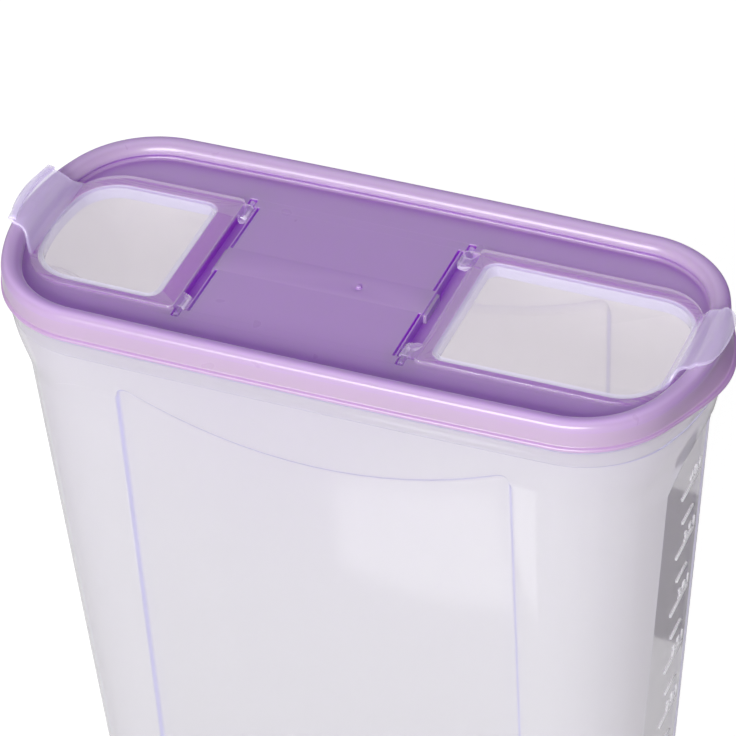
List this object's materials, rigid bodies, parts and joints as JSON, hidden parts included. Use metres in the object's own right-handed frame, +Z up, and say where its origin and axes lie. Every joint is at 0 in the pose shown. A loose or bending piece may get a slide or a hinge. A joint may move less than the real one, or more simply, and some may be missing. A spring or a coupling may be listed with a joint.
{
  "type": "cereal container with flip spout",
  "caption": "Tapered oblong food keeper with a press-on lid whose hinged flaps open pour holes at both ends.",
  "frame": {"origin": "middle of the base, on the table", "axes": "+Z up, X along the tub with the small flap at -X and the large flap at +X, +Y towards the back in the picture"},
  "size_m": [0.2522, 0.1058, 0.2851],
  "materials": {
    "tub_plastic": "translucent, milky",
    "lid_plastic": "satin purple",
    "flap_plastic": "translucent, uncoloured"
  },
  "bodies": {
    "tub": {"tub": "tub_plastic"},
    "lid": {"lid": "lid_plastic"},
    "small_flap": {"small_flap": "flap_plastic"},
    "large_flap": {"large_flap": "flap_plastic"}
  },
  "joints": [
    {"name": "lid_lift", "type": "slide", "parent": "tub", "child": "lid", "axis": [0, 0, 1], "range_m": [0, 0.04]},
    {"name": "small_flap_hinge", "type": "hinge", "parent": "lid", "child": "small_flap", "pos_m": [-0.0522, 0, 0.2728], "axis": [0, 1, 0], "range_deg": [0, 100]},
    {"name": "large_flap_hinge", "type": "hinge", "parent": "lid", "child": "large_flap", "pos_m": [0.0257, 0, 0.2728], "axis": [0, -1, 0], "range_deg": [0, 100]}
  ]
}
